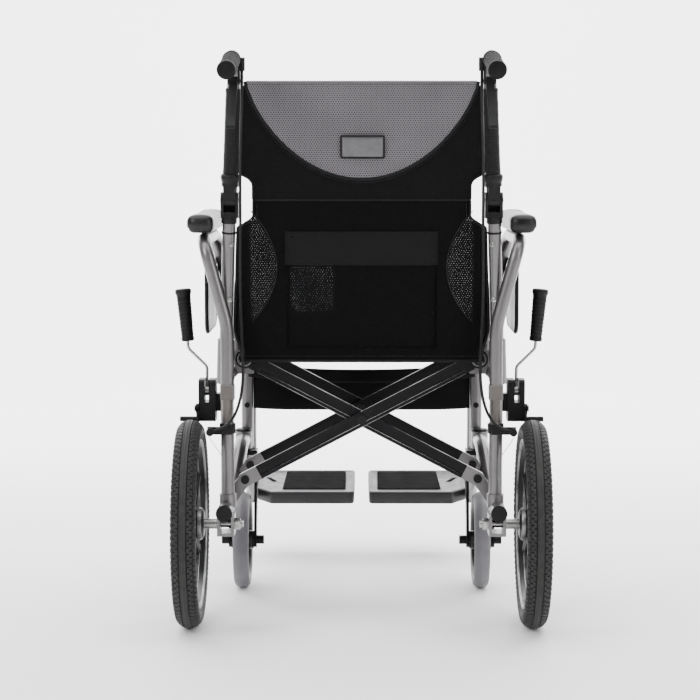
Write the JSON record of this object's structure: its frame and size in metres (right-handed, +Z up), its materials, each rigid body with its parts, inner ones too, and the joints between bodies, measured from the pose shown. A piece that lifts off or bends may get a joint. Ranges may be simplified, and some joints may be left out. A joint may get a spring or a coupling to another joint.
{
  "type": "folding transit wheelchair",
  "caption": "Folding attendant-pushed wheelchair with scissor brace, sling seat, fold-down back, lift-out armrests, swing-away footrests and caster wheels.",
  "frame": {"origin": "on the floor under the centre of the chair's bounding box", "axes": "+Z up, the chair faces +Y, +X is the occupant's right"},
  "size_m": [0.6338, 0.9438, 0.9552],
  "materials": {
    "frame_silver": "satin silver paint",
    "black_fitting": "fine-grained",
    "axle_steel": "bright zinc",
    "rear_tyre_rubber": "matt",
    "wheel_black": "satin moulded",
    "caster_tyre_rubber": "matt light grey",
    "caster_wheel_black": "satin moulded",
    "pad_black": "smooth self-skinned foam",
    "guard_grey": "smooth",
    "brake_steel": "zinc",
    "grip_rubber": "ribbed",
    "black_lever": "satin black",
    "cable_black": "smooth sheath",
    "footplate_grey": "grained",
    "brace_black": "satin black",
    "fabric_black": "woven nylon",
    "fabric_grey": "spacer mesh"
  },
  "bodies": {
    "left_frame": {"left_side_frame": "frame_silver", "left_frame_fittings": "black_fitting", "left_rear_axle": "axle_steel", "left_park_brake_housing": "black_fitting", "left_lower_cane": "frame_silver", "left_back_hinge": "black_fitting", "left_brake_cable": "cable_black", "back_lower_panel": "fabric_black", "back_pocket": "fabric_black", "calf_strap": "fabric_black"},
    "brace_a": {"brace_arms_from_left": "brace_black", "right_seat_rail": "frame_silver", "brace_bolts": "axle_steel"},
    "brace_b": {"brace_arms_from_right": "brace_black", "left_seat_rail": "frame_silver"},
    "right_frame": {"right_side_frame": "frame_silver", "right_frame_fittings": "black_fitting", "right_rear_axle": "axle_steel", "right_park_brake_housing": "black_fitting", "right_lower_cane": "frame_silver", "right_back_hinge": "black_fitting", "right_brake_cable": "cable_black"},
    "seat": {"seat_sling": "fabric_black"},
    "right_rear_wheel": {"right_rear_tyre": "rear_tyre_rubber", "right_rear_wheel": "wheel_black"},
    "right_fork": {"right_caster_fork": "brace_black", "right_caster_axle": "axle_steel"},
    "right_caster": {"right_caster_tyre": "caster_tyre_rubber", "right_caster_wheel": "caster_wheel_black"},
    "right_armrest": {"right_armrest_tube": "frame_silver", "right_arm_pad": "pad_black", "right_side_guard": "guard_grey"},
    "right_park_lever": {"right_park_brake_lever": "brake_steel"},
    "right_park_bar": {"right_park_brake_bar": "brake_steel"},
    "right_upper_back": {"right_hinge_knob": "black_fitting", "right_upper_cane": "frame_silver", "right_hand_grip": "grip_rubber", "right_lever_clamp": "black_fitting"},
    "right_hand_brake": {"right_brake_lever": "black_lever"},
    "right_footrest": {"right_footrest_hanger": "frame_silver"},
    "right_footplate": {"right_footplate": "footplate_grey"},
    "left_rear_wheel": {"left_rear_tyre": "rear_tyre_rubber", "left_rear_wheel": "wheel_black"},
    "left_fork": {"left_caster_fork": "brace_black", "left_caster_axle": "axle_steel"},
    "left_caster": {"left_caster_tyre": "caster_tyre_rubber", "left_caster_wheel": "caster_wheel_black"},
    "left_armrest": {"left_armrest_tube": "frame_silver", "left_arm_pad": "pad_black", "left_side_guard": "guard_grey"},
    "left_park_lever": {"left_park_brake_lever": "brake_steel"},
    "left_park_bar": {"left_park_brake_bar": "brake_steel"},
    "left_upper_back": {"left_hinge_knob": "black_fitting", "left_upper_cane": "frame_silver", "left_hand_grip": "grip_rubber", "left_lever_clamp": "black_fitting", "back_upper_panel": "fabric_grey"},
    "left_hand_brake": {"left_brake_lever": "black_lever"},
    "left_footrest": {"left_footrest_hanger": "frame_silver"},
    "left_footplate": {"left_footplate": "footplate_grey"}
  },
  "joints": [
    {"name": "brace_fold", "type": "hinge", "parent": "left_frame", "child": "brace_a", "pos_m": [-0.197, -0.12404, 0.241], "axis": [0, -1, 0], "range_deg": [0, 44.4], "deforming": ["back_lower_panel", "back_upper_panel", "back_pocket", "calf_strap", "seat_sling"]},
    {"name": "brace_crossing", "type": "hinge", "parent": "brace_a", "child": "brace_b", "pos_m": [0, -0.12404, 0.3435], "axis": [0, -1, 0], "range_deg": [-89, 0]},
    {"name": "right_side_pivot", "type": "hinge", "parent": "brace_b", "child": "right_frame", "pos_m": [0.197, -0.12404, 0.241], "axis": [0, -1, 0], "range_deg": [0, 44.5]},
    {"name": "seat_level", "type": "hinge", "parent": "brace_b", "child": "seat", "pos_m": [-0.197, -0.12404, 0.446], "axis": [0, -1, 0], "range_deg": [0, 44.5]},
    {"name": "right_wheel_spin", "type": "hinge", "parent": "right_frame", "child": "right_rear_wheel", "pos_m": [0.286, -0.26904, 0.174], "axis": [1, 0, 0], "continuous": true},
    {"name": "right_caster_swivel", "type": "hinge", "parent": "right_frame", "child": "right_fork", "pos_m": [0.217, 0.10596, 0.25], "axis": [0, 0, 1], "continuous": true},
    {"name": "right_caster_spin", "type": "hinge", "parent": "right_fork", "child": "right_caster", "pos_m": [0.217, 0.06096, 0.0875], "axis": [1, 0, 0], "continuous": true},
    {"name": "right_armrest_lift", "type": "slide", "parent": "right_frame", "child": "right_armrest", "axis": [0, 0, 1], "range_m": [0, 0.055]},
    {"name": "right_park_lever", "type": "hinge", "parent": "right_frame", "child": "right_park_lever", "pos_m": [0.2645, -0.16204, 0.386], "axis": [-1, 0, 0], "range_deg": [0, 60]},
    {"name": "right_park_bar", "type": "hinge", "parent": "right_frame", "child": "right_park_bar", "pos_m": [0.278, -0.18104, 0.358], "axis": [-1, 0, 0], "range_deg": [0, 35.1]},
    {"name": "right_back_fold", "type": "hinge", "parent": "right_frame", "child": "right_upper_back", "pos_m": [0.218, -0.26404, 0.714], "axis": [1, 0, 0], "range_deg": [0, 106], "deforming": ["right_brake_cable"]},
    {"name": "right_hand_brake", "type": "hinge", "parent": "right_upper_back", "child": "right_hand_brake", "pos_m": [0.205, -0.35504, 0.906], "axis": [-1, 0, 0], "range_deg": [0, 30], "stiffness_Nm_per_rad": 1},
    {"name": "right_footrest_swing", "type": "hinge", "parent": "right_frame", "child": "right_footrest", "pos_m": [0.207, 0.15096, 0.234], "axis": [0, 0, -1], "range_deg": [0, 90]},
    {"name": "right_footplate_flip", "type": "hinge", "parent": "right_footrest", "child": "right_footplate", "pos_m": [0.214, 0.32096, 0.125], "axis": [0, 0.9903, 0.1392], "range_deg": [0, 100]},
    {"name": "left_wheel_spin", "type": "hinge", "parent": "left_frame", "child": "left_rear_wheel", "pos_m": [-0.286, -0.26904, 0.174], "axis": [1, 0, 0], "continuous": true},
    {"name": "left_caster_swivel", "type": "hinge", "parent": "left_frame", "child": "left_fork", "pos_m": [-0.217, 0.10596, 0.25], "axis": [0, 0, 1], "continuous": true},
    {"name": "left_caster_spin", "type": "hinge", "parent": "left_fork", "child": "left_caster", "pos_m": [-0.217, 0.06096, 0.0875], "axis": [1, 0, 0], "continuous": true},
    {"name": "left_armrest_lift", "type": "slide", "parent": "left_frame", "child": "left_armrest", "axis": [0, 0, 1], "range_m": [0, 0.055]},
    {"name": "left_park_lever", "type": "hinge", "parent": "left_frame", "child": "left_park_lever", "pos_m": [-0.2645, -0.16204, 0.386], "axis": [-1, 0, 0], "range_deg": [0, 60]},
    {"name": "left_park_bar", "type": "hinge", "parent": "left_frame", "child": "left_park_bar", "pos_m": [-0.278, -0.18104, 0.358], "axis": [-1, 0, 0], "range_deg": [0, 35.1]},
    {"name": "left_back_fold", "type": "hinge", "parent": "left_frame", "child": "left_upper_back", "pos_m": [-0.218, -0.26404, 0.714], "axis": [1, 0, 0], "range_deg": [0, 106], "deforming": ["left_brake_cable"]},
    {"name": "left_hand_brake", "type": "hinge", "parent": "left_upper_back", "child": "left_hand_brake", "pos_m": [-0.205, -0.35504, 0.906], "axis": [-1, 0, 0], "range_deg": [0, 30], "stiffness_Nm_per_rad": 1},
    {"name": "left_footrest_swing", "type": "hinge", "parent": "left_frame", "child": "left_footrest", "pos_m": [-0.207, 0.15096, 0.234], "axis": [0, 0, 1], "range_deg": [0, 90]},
    {"name": "left_footplate_flip", "type": "hinge", "parent": "left_footrest", "child": "left_footplate", "pos_m": [-0.214, 0.32096, 0.125], "axis": [0, -0.9903, -0.1392], "range_deg": [0, 100]}
  ],
  "couplings": [
    {"joint": "brace_crossing", "follows": "brace_fold", "ratio": -2},
    {"joint": "right_side_pivot", "follows": "brace_fold", "ratio": 1},
    {"joint": "seat_level", "follows": "brace_fold", "ratio": 1},
    {"joint": "right_park_bar", "follows": "right_park_lever", "ratio": 0.58333},
    {"joint": "right_footplate_flip", "follows": "brace_fold", "ratio": 2.25},
    {"joint": "left_park_bar", "follows": "left_park_lever", "ratio": 0.58333},
    {"joint": "left_footplate_flip", "follows": "brace_fold", "ratio": 2.25},
    {"joint": "right_back_fold", "follows": "left_back_fold", "ratio": 1}
  ]
}
